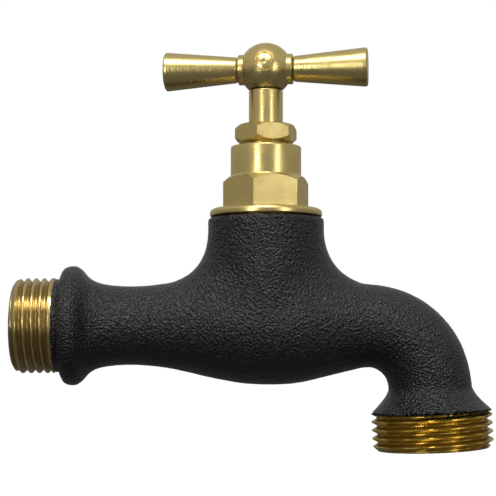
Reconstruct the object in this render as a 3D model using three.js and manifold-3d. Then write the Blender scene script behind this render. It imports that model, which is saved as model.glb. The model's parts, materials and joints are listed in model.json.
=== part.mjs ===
// Hose bib (garden tap) in millimetres, +Z up.
// Origin: the centre of the inlet's end face. +X runs from the inlet towards the outlet,
// and the spindle stands on a vertical axis at x = neckX.
// The rest pose is the closed tap: the washer sits one hair (0.3 mm) above its seat.

import * as THREE from 'three';
import { mergeVertices } from 'three/addons/utils/BufferGeometryUtils.js';
import { LoftGeometry } from 'three/addons/geometries/LoftGeometry.js';
import Module from 'manifold-3d';

// ---------------------------------------------------------------- driving dimensions

const gap = 0.3;                    // left between two pieces that touch on the real tap
const sides = 24;                   // facets round a turned piece
const threadSides = 16;             // facets in each turn of a thread
const castSides = 28;               // facets round the casting
const degree = Math.PI / 180;

// Pipe threads, both 14 turns to the inch
const pipePitch = 25.4 / 14;
const inletThreadRadius = 20.955 / 2;   // G 1/2
const outletThreadRadius = 26.441 / 2;  // G 3/4
const pipeThreadDepth = 1.162;

// Body casting
const inletThreadLength = 8.7;
const collarStart = 10.3;
const collarRadius = 13.15;
const tubeRadius = 8.6;
const bellyRadius = 13;
const wall = 2.7;
const inletBoreRadius = 6.5;
const neckX = 55.5;
const neckRadius = 12.85;
const neckTop = 23.8;
const neckBoreRadius = 10.55;
const sealSeatRadius = 11.6;
const sealSeatDepth = 1.6;

// Elbow and outlet
const elbowStart = 78.2;
const elbowBend = 13.4;             // radius of the elbow's centre line
const elbowRadius = 9.17;
const elbowBoreRadius = 6.8;
const outletTilt = 2.4 * degree;    // the outlet points a little away from the wall
const spoutLength = 14.2;           // from the elbow's end to the outlet's end face
const spoutThreadStart = 6.9;
const spoutFlareRadius = 13.2;
const mouthRadius = 9.6;
const mouthDepth = 7.5;

// Valve seat
const seatBottom = 0.2;
const seatTop = 3;
const seatHoleRadius = 5.8;
const seatRingRadius = 7.4;
const seatRingHeight = 0.8;
const webThickness = 2.6;

// Headwork
const headThreadRadius = 10.2;
const headThreadDepth = 1.1;
const headBottom = 15.2;
const headFlangeRadius = 12.45;
const headFlangeBottom = neckTop + gap;
const headFlangeTop = 25.9;
const headHexFlats = 17;
const headHexTop = 32.9;
const headHexTurn = -16.5 * degree;
const headBarrelRadius = 7.85;
const headTop = 39.8;
const packingBoxRadius = 5.75;
const packingBoxBottom = 31.5;
const headWebBottom = 29.5;
const spindleBoreRadius = 6.3;

// Gland
const glandShankRadius = 5.4;
const glandShankBottom = 36.1;
const glandHexFlats = 12.4;
const glandHexBottom = 40.7;
const glandHexTop = 44.6;
const glandHexTurn = -16 * degree;
const shaftHoleRadius = 4.1;

// Spindle and valve
const spindlePitch = 2;
const spindleThreadRadius = 6;
const spindleThreadBottom = 15.5;
const spindleThreadTop = 24.3;
const spindleFootRadius = 4.7;
const shaftRadius = 3.8;
const shaftTop = 52.45;
const spigotRadius = 3.2;
const spigotTop = 60.1;
const washerRadius = 7.3;
const washerThickness = 3;
const plateRadius = 7.7;
const plateThickness = 2;
const jumperStemRadius = 2.2;
const jumperStemTop = 17.9;
const washerStudRadius = 1.6;
const nutFlats = 5.5;
const nutHeight = 2.2;

// Handle
const handleTurn = -7.5 * degree;
const ballRadius = 5.95;
const ballHeight = 57.23;
const ballFoot = 52.75;
const ballFootRadius = 3.9;
const armHeight = 57.23;
const bossRadius = 3.4;
const bossReach = 6.1;
const armStart = bossReach + gap;
const armEnd = 22.8;
const armRootRadius = 2.85;
const armTipRadius = 4.33;
const crossStudRadius = 1.5;
const crossStudReach = 11.5;

// ---------------------------------------------------------------- materials

const blackPaint = { color: 0x1e1f22, roughness: 0.45, metalness: 0.1 };
const brass = { color: 0xc9b26a, roughness: 0.28, metalness: 1 };
const rubber = { color: 0x151515, roughness: 0.8, metalness: 0 };
const fibre = { color: 0x8a3324, roughness: 0.9, metalness: 0 };
const graphite = { color: 0x3a3a3c, roughness: 0.7, metalness: 0 };

// ---------------------------------------------------------------- solids

const wasm = await Module();
wasm.setup();

/** Six times the signed volume: it is positive when the triangles face outwards. */
function signedVolume(position, triangles) {
  const a = new THREE.Vector3();
  const b = new THREE.Vector3();
  const c = new THREE.Vector3();
  let sum = 0;
  for (let i = 0; i < triangles.length; i += 3) {
    a.fromBufferAttribute(position, triangles[i]);
    b.fromBufferAttribute(position, triangles[i + 1]);
    c.fromBufferAttribute(position, triangles[i + 2]);
    sum += a.dot(b.cross(c));
  }
  return sum;
}

/** A closed three.js geometry as a Manifold solid, turned right side out if need be. */
function solid(geometry) {
  const bare = new THREE.BufferGeometry();
  bare.setAttribute('position', geometry.getAttribute('position'));
  bare.setIndex(geometry.getIndex());
  const merged = mergeVertices(bare, 1e-4);
  const position = merged.getAttribute('position');
  const index = merged.getIndex().array;
  const triangles = [];
  for (let i = 0; i < index.length; i += 3) {
    const [p, q, r] = index.slice(i, i + 3);
    if (p !== q && q !== r && r !== p) triangles.push(p, q, r);
  }
  if (signedVolume(position, triangles) < 0) triangles.reverse();
  return new wasm.Manifold(new wasm.Mesh({
    numProp: 3,
    vertProperties: new Float32Array(position.array),
    triVerts: new Uint32Array(triangles),
  }));
}

/** A Manifold solid back as a three.js geometry. */
function geometryOf(manifold) {
  const mesh = manifold.getMesh();
  const geometry = new THREE.BufferGeometry();
  geometry.setAttribute('position', new THREE.Float32BufferAttribute(mesh.vertProperties, 3));
  geometry.setIndex(new THREE.Uint32BufferAttribute(mesh.triVerts, 1));
  geometry.computeVertexNormals();
  return geometry;
}

/** A profile of [radius, height] pairs turned about +Z. It starts and ends on the axis. */
function turned(profile, count = sides) {
  const points = profile.map(([radius, height]) => new THREE.Vector2(radius, height));
  return solid(new THREE.LatheGeometry(points, count).rotateX(Math.PI / 2));
}

/** A plain round bar or bore along +Z. */
function bar(radius, bottom, top, count = sides) {
  return turned([[0, bottom], [radius, bottom], [radius, top], [0, top]], count);
}

/** A ring with a square section round +Z. */
function ring(inner, outer, bottom, top) {
  return bar(outer, bottom, top).subtract(bar(inner, bottom - 1, top + 1));
}

/** Turns a solid made along +Z so that it lies along +X. */
function alongX(manifold) {
  return manifold.rotate([0, 90, 0]);
}

/** A hexagon bar along +Z with its corners chamfered off at the ends that are asked for. */
function hexagon(flats, bottom, top, turn, chamferBottom, chamferTop) {
  const corner = flats / 2 / Math.cos(30 * degree);
  const height = top - bottom;
  const prism = new THREE.CylinderGeometry(corner, corner, height, 6).rotateX(Math.PI / 2);
  const drop = (corner - flats / 2) * Math.tan(30 * degree);
  const face = flats / 2 - 0.1;
  const low = chamferBottom ? [[face, bottom], [corner, bottom + drop]] : [[corner + 1, bottom]];
  const high = chamferTop ? [[corner, top - drop], [face, top]] : [[corner + 1, top]];
  const envelope = turned([[0, bottom], ...low, ...high, [0, top]], 36);
  prism.rotateZ(turn).translate(0, 0, (bottom + top) / 2);
  return solid(prism).intersect(envelope);
}

/** A right-handed helix about +Z, whose frames keep a swept section upright. */
class Helix extends THREE.Curve {
  constructor(pitch, bottom, turns) {
    super();
    this.bottom = bottom;
    this.turns = turns;
    this.height = turns * pitch;
  }

  angle(t) {
    return 2 * Math.PI * t * this.turns;
  }

  getPoint(t) {
    return new THREE.Vector3(0, 0, this.bottom + this.height * t);
  }

  getPointAt(t) {
    return this.getPoint(t);
  }

  computeFrenetFrames(segments) {
    const frames = { tangents: [], normals: [], binormals: [] };
    for (let i = 0; i <= segments; i += 1) {
      const angle = this.angle(i / segments);
      frames.tangents.push(new THREE.Vector3(-Math.sin(angle), Math.cos(angle), 0));
      frames.normals.push(new THREE.Vector3(Math.cos(angle), Math.sin(angle), 0));
      frames.binormals.push(new THREE.Vector3(0, 0, -1));
    }
    return frames;
  }
}

/** The ridge of a male thread: a V with a narrow flat crest, wound about +Z. */
function threadRidge(crest, depth, pitch, bottom, top) {
  const root = crest - depth - 0.25;
  const section = new THREE.Shape();
  section.moveTo(root, -pitch * 0.43);
  section.lineTo(crest, -pitch * 0.1);
  section.lineTo(crest, pitch * 0.1);
  section.lineTo(root, pitch * 0.43);
  section.closePath();
  const steps = Math.floor((top - bottom) / pitch * threadSides);
  const extrudePath = new Helix(pitch, bottom, steps / threadSides);
  return solid(new THREE.ExtrudeGeometry(section, { extrudePath, steps }));
}

/**
 * A male thread on a round core along +Z. Its ridge is cut off square at the bottom,
 * with a lead-in chamfer there, and runs out at the top.
 */
function maleThread(crest, depth, pitch, bottom, top) {
  const root = crest - depth;
  const ridge = threadRidge(crest, depth, pitch, bottom - pitch / 2, top - pitch / 2);
  const leadIn = turned([
    [0, bottom], [root, bottom], [crest + 0.1, bottom + depth], [crest + 0.1, top + pitch], [0, top + pitch],
  ], threadSides);
  return bar(root, bottom, top, threadSides).add(ridge.intersect(leadIn));
}

/** The named mesh of one sub-part. */
function part(name, manifold, look) {
  const mesh = new THREE.Mesh(geometryOf(manifold), new THREE.MeshStandardMaterial(look));
  mesh.name = name;
  return mesh;
}

// ---------------------------------------------------------------- the body casting

/** Heights and radii on a smooth curve through a few [radius, distance] points. */
function smooth(points, divisions) {
  const curve = new THREE.SplineCurve(points.map(([radius, along]) => new THREE.Vector2(radius, along)));
  return curve.getPoints(divisions).map((point) => [point.x, point.y]);
}

/** Shoulder, collar, tube and belly, turned about the inlet's axis. */
function castRun() {
  const run = smooth([
    [9.4, 18.6], [tubeRadius + 0.1, 23], [tubeRadius + 0.1, 29], [9.8, 36.4], [11.4, 43], [12.7, 50],
    [bellyRadius, 56.5], [12.6, 62.5], [11.15, 69], [9.8, 74.5], [elbowRadius, elbowStart],
  ], 15);
  return alongX(turned([
    [0, inletThreadLength - 0.5], [10.25, inletThreadLength - 0.5], [10.25, collarStart],
    [collarRadius - 0.9, collarStart], [collarRadius - 0.2, collarStart + 0.5],
    [collarRadius, collarStart + 1.3], [collarRadius - 0.15, collarStart + 2.9],
    [collarRadius - 0.9, collarStart + 4.4], [11.6, 15.5], [10.4, 16.7],
    ...run, [0, elbowStart],
  ], castSides));
}

/** Circles along the elbow's bend, from level to straight down less the outlet's tilt. */
function elbow(startRadius, endRadius, count) {
  const bend = Math.PI / 2 - outletTilt;
  const steps = 7;
  const sections = [];
  for (let i = -1; i <= steps + 1; i += 1) {
    const fraction = THREE.MathUtils.clamp(i / steps, 0, 1);
    const angle = bend * fraction;
    const outward = new THREE.Vector3(Math.sin(angle), 0, Math.cos(angle));
    const along = new THREE.Vector3(Math.cos(angle), 0, -Math.sin(angle));
    const centre = new THREE.Vector3(elbowStart, 0, -elbowBend).addScaledVector(outward, elbowBend);
    centre.addScaledVector(along, (i / steps - fraction) * 4);
    const radius = THREE.MathUtils.lerp(startRadius, endRadius, fraction);
    const section = [];
    for (let k = 0; k < count; k += 1) {
      const turn = 2 * Math.PI * k / count;
      const point = centre.clone().addScaledVector(outward, radius * Math.cos(turn));
      section.push(point.add(new THREE.Vector3(0, -radius * Math.sin(turn), 0)));
    }
    sections.push(section);
  }
  return solid(new LoftGeometry(sections, { capStart: true, capEnd: true }));
}

/** Puts a solid made along +Z on the outlet's axis: z = 0 at the elbow's end, +Z out of the mouth. */
function onOutlet(manifold) {
  const bend = Math.PI / 2 - outletTilt;
  const x = elbowStart + elbowBend * Math.sin(bend);
  const z = -elbowBend + elbowBend * Math.cos(bend);
  return manifold.rotate([0, 180 - outletTilt / degree, 0]).translate([x, 0, z]);
}

/** The end of the spout: a waist that flares out over the start of the thread. */
function castSpoutEnd() {
  const flare = smooth([[9.1, 0], [9.45, 1.7], [10.6, 3.2], [12, 4.5], [12.75, 5.6], [13.1, 6.2]], 7);
  return onOutlet(turned([
    [0, -1], [9.1, -1], ...flare, [spoutFlareRadius, spoutThreadStart - 0.3],
    [spoutFlareRadius - 0.3, spoutThreadStart], [0, spoutThreadStart],
  ], castSides));
}

/** The upright neck, which spreads along the tube on a fillet at each side. */
function castNeck() {
  const left = { radius: 9, start: 18.2 };
  const right = { radius: 8.5, start: 18.5 };
  const spread = (fillet, z) => {
    const drop = THREE.MathUtils.clamp(fillet.start - z, 0, fillet.radius * 0.985);
    return fillet.radius - Math.sqrt(fillet.radius ** 2 - drop ** 2);
  };
  const heights = [2, 6, 9.4, 10.2, 11.2, 12.6, 14.4, 16.4, 18.4, neckTop];
  const sections = heights.map((z) => {
    const low = neckX - neckRadius - spread(left, z);
    const high = neckX + neckRadius + spread(right, z);
    const sharpness = 1 + 0.15 * spread(left, z);    // a circle above, pointed where it meets the tube
    const section = [];
    for (let k = 0; k < castSides; k += 1) {
      const turn = 2 * Math.PI * k / castSides;
      const x = (low + high) / 2 + (high - low) / 2 * Math.cos(turn);
      const side = Math.sin(turn);
      section.push(new THREE.Vector3(x, neckRadius * Math.sign(side) * Math.abs(side) ** sharpness, z));
    }
    return section;
  });
  return solid(new LoftGeometry(sections, { capStart: true, capEnd: true }));
}

/** The S-shaped web between the inlet and the outlet side, with the seat in its level part. */
function castWeb() {
  const webDepth = 2 * bellyRadius + 2;
  const block = (x0, x1, z0, z1) => solid(
    new THREE.BoxGeometry(x1 - x0, webDepth, z1 - z0).translate((x0 + x1) / 2, 0, (z0 + z1) / 2),
  );
  const left = neckX - neckBoreRadius;
  const right = neckX + neckBoreRadius;
  return block(left - webThickness, left + 2, seatBottom, neckRadius)
    .add(block(left - webThickness, right + webThickness, seatBottom, seatTop))
    .add(block(right, right + webThickness, -bellyRadius - 1, seatTop));
}

/** The waterway: inlet bore, chamber under the seat, chamber over it, and the way out. */
function waterway() {
  const run = smooth([
    [inletBoreRadius, 33], [7.2, 38], [9, 44], [bellyRadius - wall, 52], [bellyRadius - wall, 60],
    [8.6, 69], [7.2, 74.5], [elbowBoreRadius, elbowStart],
  ], 12);
  const along = alongX(turned([[0, -1], [inletBoreRadius, -1], ...run, [0, elbowStart]]));
  const mouth = onOutlet(turned([
    [0, -1], [elbowBoreRadius, -1], [elbowBoreRadius, spoutLength - mouthDepth - 2],
    [mouthRadius, spoutLength - mouthDepth], [mouthRadius, spoutLength + 1], [0, spoutLength + 1],
  ]));
  const neck = bar(neckBoreRadius, seatTop, neckTop + 1)
    .add(bar(sealSeatRadius, neckTop - sealSeatDepth, neckTop + 1))
    .add(bar(seatHoleRadius, seatBottom - 1, seatTop + 1))
    .translate([neckX, 0, 0]);
  return along.subtract(castWeb()).add(neck).add(elbow(elbowBoreRadius, elbowBoreRadius, sides)).add(mouth);
}

/** The one-piece casting with its two machined pipe threads and its seat. */
function body() {
  const inletThread = alongX(maleThread(
    inletThreadRadius, pipeThreadDepth, pipePitch, 0, inletThreadLength,
  ));
  const outletThread = onOutlet(
    maleThread(outletThreadRadius, pipeThreadDepth, pipePitch, 0, spoutLength - spoutThreadStart + 1)
      .rotate([180, 0, 0])
      .translate([0, 0, spoutLength]),
  );
  const casting = castRun().add(elbow(elbowRadius, 9.1, castSides)).add(castNeck()).add(castSpoutEnd());
  const seatRing = bar(seatRingRadius, seatTop - 0.5, seatTop + seatRingHeight)
    .subtract(bar(seatHoleRadius, seatTop - 1, seatTop + seatRingHeight + 1))
    .translate([neckX, 0, 0]);
  const outside = casting.add(inletThread).add(outletThread);
  return part('body', outside.subtract(waterway()).add(seatRing), blackPaint);
}

// ---------------------------------------------------------------- the headwork

/** Screwed into the neck: it carries the spindle's thread below and the packing box above. */
function bonnet() {
  const barrel = turned([
    [0, headFlangeBottom], [headFlangeRadius, headFlangeBottom],
    [headFlangeRadius, headFlangeTop - 0.3], [headFlangeRadius - 0.3, headFlangeTop],
    [headBarrelRadius, headFlangeTop], [headBarrelRadius, headTop - 0.5],
    [headBarrelRadius - 0.5, headTop], [0, headTop],
  ]);
  const relief = bar(headThreadRadius - headThreadDepth, headBottom + 1, headFlangeBottom + 1, threadSides);
  const thread = maleThread(
    headThreadRadius, headThreadDepth, pipePitch, headBottom, neckTop - sealSeatDepth,
  ).add(relief);
  const hex = hexagon(headHexFlats, headFlangeTop - 0.5, headHexTop, headHexTurn, false, true);
  const bore = turned([
    [0, headBottom - 1], [spindleBoreRadius, headBottom - 1], [spindleBoreRadius, headWebBottom],
    [shaftHoleRadius, headWebBottom], [shaftHoleRadius, packingBoxBottom],
    [packingBoxRadius, packingBoxBottom], [packingBoxRadius, headTop + 1], [0, headTop + 1],
  ]);
  return part('bonnet', barrel.add(thread).add(hex).subtract(bore), brass);
}

/** The fibre ring that the bonnet's flange squeezes into the neck's counterbore. */
function bonnetGasket() {
  const inner = headThreadRadius - headThreadDepth + gap;
  const bottom = neckTop - sealSeatDepth + gap;
  return part('bonnet_gasket', ring(inner, sealSeatRadius - gap, bottom, neckTop), fibre);
}

/** The gland screw, which squeezes the packing round the shaft. */
function glandNut() {
  const shank = maleThread(glandShankRadius, 0.55, 1, glandShankBottom, glandHexBottom + 0.5);
  const hex = hexagon(glandHexFlats, glandHexBottom, glandHexTop, glandHexTurn, true, true);
  const bore = bar(shaftHoleRadius, glandShankBottom - 1, glandHexTop + 1);
  return part('gland_nut', shank.add(hex).subtract(bore), brass);
}

/** A brass washer under two packing rings, stacked in the packing box. */
function packing() {
  const outer = packingBoxRadius - gap;
  const pieces = [
    { name: 'packing_washer', height: 0.8, look: brass },
    { name: 'packing_ring_lower', height: 1.3, look: graphite },
    { name: 'packing_ring_upper', height: 1.3, look: graphite },
  ];
  let bottom = packingBoxBottom + gap;
  return pieces.map(({ name, height, look }) => {
    const piece = part(name, ring(shaftHoleRadius, outer, bottom, bottom + height), look);
    bottom += height + gap;
    return piece;
  });
}

// ---------------------------------------------------------------- spindle and valve

const washerBottom = seatTop + seatRingHeight + gap;
const plateBottom = washerBottom + washerThickness + gap;
const spindleBottom = plateBottom + plateThickness + gap;

/** The threaded spindle, with a socket below for the jumper and a spigot above for the handle. */
function spindle() {
  const blank = turned([
    [0, spindleBottom], [spindleFootRadius - 0.5, spindleBottom],
    [spindleFootRadius, spindleBottom + 0.5], [spindleFootRadius, spindleThreadBottom + 0.5],
    [shaftRadius, spindleThreadBottom + 0.5], [shaftRadius, shaftTop], [spigotRadius, shaftTop],
    [spigotRadius, spigotTop - 0.4], [spigotRadius - 0.4, spigotTop], [0, spigotTop],
  ]);
  const thread = maleThread(
    spindleThreadRadius, 0.95, spindlePitch, spindleThreadBottom, spindleThreadTop,
  );
  const socket = bar(jumperStemRadius + gap, spindleBottom - 1, jumperStemTop + gap);
  const crossHole = alongX(bar(crossStudRadius + gap, -5, 5)).translate([0, 0, armHeight]);
  return part('spindle', blank.add(thread).subtract(socket).subtract(crossHole), brass);
}

/** The loose valve plate: its stem turns freely in the spindle, its stud carries the washer. */
function jumper() {
  const plateTop = plateBottom + plateThickness;
  return part('jumper', turned([
    [0, washerBottom - nutHeight - 2 * gap], [washerStudRadius, washerBottom - nutHeight - 2 * gap],
    [washerStudRadius, plateBottom], [plateRadius - 0.3, plateBottom],
    [plateRadius, plateBottom + 0.3], [plateRadius, plateTop - 0.3], [plateRadius - 0.3, plateTop],
    [jumperStemRadius, plateTop], [jumperStemRadius, jumperStemTop - 0.4],
    [jumperStemRadius - 0.4, jumperStemTop], [0, jumperStemTop],
  ]), brass);
}

/** The rubber washer that closes on the seat. */
function seatWasher() {
  const top = washerBottom + washerThickness;
  return part('seat_washer', ring(washerStudRadius + gap, washerRadius, washerBottom, top), rubber);
}

/** The small nut that keeps the washer on the jumper's stud. */
function washerNut() {
  const top = washerBottom - gap;
  const hex = hexagon(nutFlats, top - nutHeight, top, 0, true, false);
  const bore = bar(washerStudRadius + gap, top - nutHeight - 1, top + 1);
  return part('washer_nut', hex.subtract(bore), brass);
}

// ---------------------------------------------------------------- the handle

/** The ball hub on top of the spindle, with a short boss towards each arm. */
function handleBall() {
  const bowl = smooth([
    [ballFootRadius, ballFoot], [4.98, 54], [5.72, 55.6], [ballRadius, ballHeight],
  ], 6);
  const dome = [];
  for (let i = 1; i <= 7; i += 1) {
    const angle = i / 8 * Math.PI / 2;
    dome.push([ballRadius * Math.cos(angle), ballHeight + ballRadius * Math.sin(angle)]);
  }
  const ball = turned([[0, ballFoot], ...bowl, ...dome, [0, ballHeight + ballRadius]]);
  const boss = turned([
    [0, -bossReach], [bossRadius - 0.3, -bossReach], [bossRadius, -bossReach + 0.3],
    [bossRadius, bossReach - 0.3], [bossRadius - 0.3, bossReach], [0, bossReach],
  ]);
  const socket = bar(spigotRadius + gap, ballFoot - 1, spigotTop + gap);
  const crossHole = bar(crossStudRadius + gap, -bossReach - 1, bossReach + 1);
  const hub = ball.add(alongX(boss).translate([0, 0, armHeight])).subtract(socket);
  return part('handle_ball', hub.subtract(alongX(crossHole).translate([0, 0, armHeight])), brass);
}

/** The stud that pins the ball to the spindle and that both arms screw on to. */
function crossStud() {
  const tip = 0.4;
  const blank = turned([
    [0, -crossStudReach], [crossStudRadius - tip, -crossStudReach],
    [crossStudRadius, -crossStudReach + tip], [crossStudRadius, crossStudReach - tip],
    [crossStudRadius - tip, crossStudReach], [0, crossStudReach],
  ], 24);
  return part('cross_stud', alongX(blank).translate([0, 0, armHeight]), brass);
}

/** One tapered arm, from the boss to its wide tip; side is +1 for right, -1 for left. */
function handleArm(name, side) {
  const hole = crossStudRadius + gap;
  const holeEnd = crossStudReach + gap;
  const blank = turned([
    [0, holeEnd], [hole, holeEnd], [hole, armStart], [armRootRadius - 0.25, armStart],
    [armRootRadius, armStart + 0.4], [armTipRadius, armEnd - 0.8], [armTipRadius + 0.02, armEnd - 0.35],
    [armTipRadius - 0.35, armEnd], [0, armEnd],
  ]);
  return part(name, blank.rotate([0, 90 * side, 0]).translate([0, 0, armHeight]), brass);
}

// ---------------------------------------------------------------- assembly

/** A group whose +Z axis is the spindle's axis, turned by an angle about it. */
function onSpindleAxis(turn, ...pieces) {
  const group = new THREE.Group();
  group.position.x = neckX;
  group.rotation.z = turn;
  group.add(...pieces);
  return group;
}

const tap = new THREE.Group();
tap.add(body());
tap.add(onSpindleAxis(0, bonnet(), bonnetGasket(), glandNut(), ...packing()));
tap.add(onSpindleAxis(0, jumper(), seatWasher(), washerNut()));
tap.add(onSpindleAxis(
  handleTurn, spindle(), handleBall(), crossStud(),
  handleArm('handle_arm_right', 1), handleArm('handle_arm_left', -1),
));

export default tap;
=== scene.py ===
# %% [markdown]
# # A garden bib tap, piece by piece
# This lesson builds the looks of a small brass tap round a fixed CAD frame: a black-painted
# casting, a plain brass headwork and a T handle. Every length in the script is in metres, so a
# helper constant turns millimetres into metres where a size is written down.

# %% Load the fixed frame
import json
import math

import bpy
import numpy as np
from mathutils import Matrix, Vector, noise

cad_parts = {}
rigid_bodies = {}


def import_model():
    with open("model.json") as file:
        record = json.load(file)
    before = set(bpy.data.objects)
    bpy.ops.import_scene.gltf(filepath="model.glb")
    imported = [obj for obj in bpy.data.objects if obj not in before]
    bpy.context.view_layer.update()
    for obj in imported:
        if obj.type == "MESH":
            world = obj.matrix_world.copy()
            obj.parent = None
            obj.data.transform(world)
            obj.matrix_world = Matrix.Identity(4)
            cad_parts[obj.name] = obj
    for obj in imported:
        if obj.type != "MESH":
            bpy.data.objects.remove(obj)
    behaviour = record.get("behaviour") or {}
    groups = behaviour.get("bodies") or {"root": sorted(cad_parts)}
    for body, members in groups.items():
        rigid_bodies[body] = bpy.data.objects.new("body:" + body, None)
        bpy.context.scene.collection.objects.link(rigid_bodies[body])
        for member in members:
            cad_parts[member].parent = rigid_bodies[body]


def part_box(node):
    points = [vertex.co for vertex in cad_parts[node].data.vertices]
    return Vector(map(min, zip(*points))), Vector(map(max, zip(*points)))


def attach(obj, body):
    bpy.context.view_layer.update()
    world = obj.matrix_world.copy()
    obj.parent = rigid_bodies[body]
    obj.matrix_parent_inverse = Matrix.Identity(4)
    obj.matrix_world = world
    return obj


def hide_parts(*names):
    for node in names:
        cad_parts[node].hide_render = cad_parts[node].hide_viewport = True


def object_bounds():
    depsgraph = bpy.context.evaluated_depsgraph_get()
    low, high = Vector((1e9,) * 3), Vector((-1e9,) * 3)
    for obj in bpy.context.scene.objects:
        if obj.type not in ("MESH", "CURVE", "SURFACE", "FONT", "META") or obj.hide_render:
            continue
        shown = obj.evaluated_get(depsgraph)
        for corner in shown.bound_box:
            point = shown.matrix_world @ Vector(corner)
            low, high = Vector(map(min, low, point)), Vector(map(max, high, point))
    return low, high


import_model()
cad_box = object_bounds()
MM = 0.001
print("CAD box in mm:", [round(v / MM, 2) for corner in cad_box for v in corner])

# %% Sizes that everything else is worked out from
spindle_low, spindle_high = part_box("spindle")
NECK_X = (spindle_low.x + spindle_high.x) / 2      # the spindle's axis stands here
INLET_THREAD_R = 20.955 / 2 * MM                   # G 1/2
OUTLET_THREAD_R = 26.441 / 2 * MM                  # G 3/4
PIPE_PITCH = 25.4 / 14 * MM
PIPE_DEPTH = 1.162 * MM
INLET_THREAD_END = 8.7 * MM
INLET_BORE_R = 6.5 * MM
ELBOW_START = 78.2 * MM
ELBOW_BEND = 13.4 * MM
OUTLET_TILT = math.radians(2.4)
BEND_ANGLE = math.pi / 2 - OUTLET_TILT
SPOUT_LENGTH = 14.2 * MM
SPOUT_THREAD_START = 6.1 * MM
MOUTH_R = 9.6 * MM
NECK_R = 12.85 * MM
NECK_TOP = 23.8 * MM
NECK_BORE_R = 10.55 * MM
HANDLE_TURN = math.radians(-7.5)
ARM_HEIGHT = 57.23 * MM

elbow_centre = Vector((ELBOW_START, 0, -ELBOW_BEND))
outlet_axis = Vector((math.cos(BEND_ANGLE), 0, -math.sin(BEND_ANGLE)))
outlet_start = elbow_centre + ELBOW_BEND * Vector((math.sin(BEND_ANGLE), 0, math.cos(BEND_ANGLE)))
print("outlet's end face is centred on", outlet_start + outlet_axis * SPOUT_LENGTH)

# %% [markdown]
# ## Camera, floor and light
# A long lens a good arm's length away keeps the rings of the threads nearly flat. The camera
# stands a little below the inlet and looks slightly up. A product like this is shown on white,
# so the world is white to the eye, but dimmer and uneven to the metal, which needs something
# darker than white to mirror.

# %% Camera
CAMERA_DISTANCE = 300 * MM
CAMERA_X = 51.5 * MM
CAMERA_Z = -3.0 * MM
CAMERA_LIFT = math.radians(3.85)
CAMERA_LENS = 98.3                                 # in mm of focal length, as Blender wants it
camera_data = bpy.data.cameras.new("camera")
camera_data.lens = CAMERA_LENS
camera_data.sensor_width = 36
camera_data.clip_start = 0.01
camera = bpy.data.objects.new("camera", camera_data)
camera.location = (CAMERA_X, -CAMERA_DISTANCE, CAMERA_Z)
camera.rotation_euler = (math.pi / 2 + CAMERA_LIFT, 0, 0)
bpy.context.scene.collection.objects.link(camera)
bpy.context.scene.camera = camera
bpy.context.scene.view_settings.view_transform = "Standard"


# %% Floor
def new_material(name):
    """A material with a fresh Principled shader, its node tree and that shader."""
    material = bpy.data.materials.new(name)
    material.use_nodes = True
    tree = material.node_tree
    shader = tree.nodes["Principled BSDF"]
    return material, tree, shader


FLOOR_Z = cad_box[0].z - 28 * MM                   # well below the outlet
FLOOR_HALF = 4.0
floor_mesh = bpy.data.meshes.new("floor")
floor_mesh.from_pydata(
    [(x, y, FLOOR_Z) for x, y in ((-FLOOR_HALF, -FLOOR_HALF), (FLOOR_HALF, -FLOOR_HALF),
                                  (FLOOR_HALF, FLOOR_HALF), (-FLOOR_HALF, FLOOR_HALF))],
    [], [(0, 1, 2, 3)])
floor = bpy.data.objects.new("floor", floor_mesh)
bpy.context.scene.collection.objects.link(floor)
floor_material, floor_tree, floor_shader = new_material("pale_floor")
floor_shader.inputs["Base Color"].default_value = (0.06, 0.06, 0.06, 1)
floor_shader.inputs["Roughness"].default_value = 0.9
floor_shader.inputs["Specular IOR Level"].default_value = 0
floor_shader.inputs["Emission Color"].default_value = (1, 1, 1, 1)
floor_seen = floor_tree.nodes.new("ShaderNodeLightPath")
floor_glow = floor_tree.nodes.new("ShaderNodeMapRange")     # white to the eye, dim to the metal
floor_glow.inputs["To Min"].default_value = 0.07
floor_tree.links.new(floor_seen.outputs["Is Camera Ray"], floor_glow.inputs["Value"])
floor_tree.links.new(floor_glow.outputs["Result"], floor_shader.inputs["Emission Strength"])
floor_mesh.materials.append(floor_material)


# %% Lights
def area_light(name, azimuth, elevation, distance, width, height, power):
    """A soft box that faces the tap. Azimuth 0 is the camera's side, 90 is to its right."""
    target = Vector((NECK_X, 0, 20 * MM))
    a, e = math.radians(azimuth), math.radians(elevation)
    back = Vector((math.sin(a) * math.cos(e), -math.cos(a) * math.cos(e), math.sin(e)))
    data = bpy.data.lights.new(name, "AREA")
    data.shape = "RECTANGLE"
    data.size, data.size_y = width, height
    data.energy = power
    light = bpy.data.objects.new(name, data)
    light.location = target + back * distance
    light.rotation_euler = (-back).to_track_quat("-Z", "Y").to_euler()
    bpy.context.scene.collection.objects.link(light)


area_light("left strip", -29, 4, 0.9, 0.16, 0.44, 1.6)
area_light("right strip", 38, 4, 0.9, 0.16, 0.44, 1.4)
area_light("top box", -8, 56, 0.9, 0.6, 0.28, 5.0)


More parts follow.
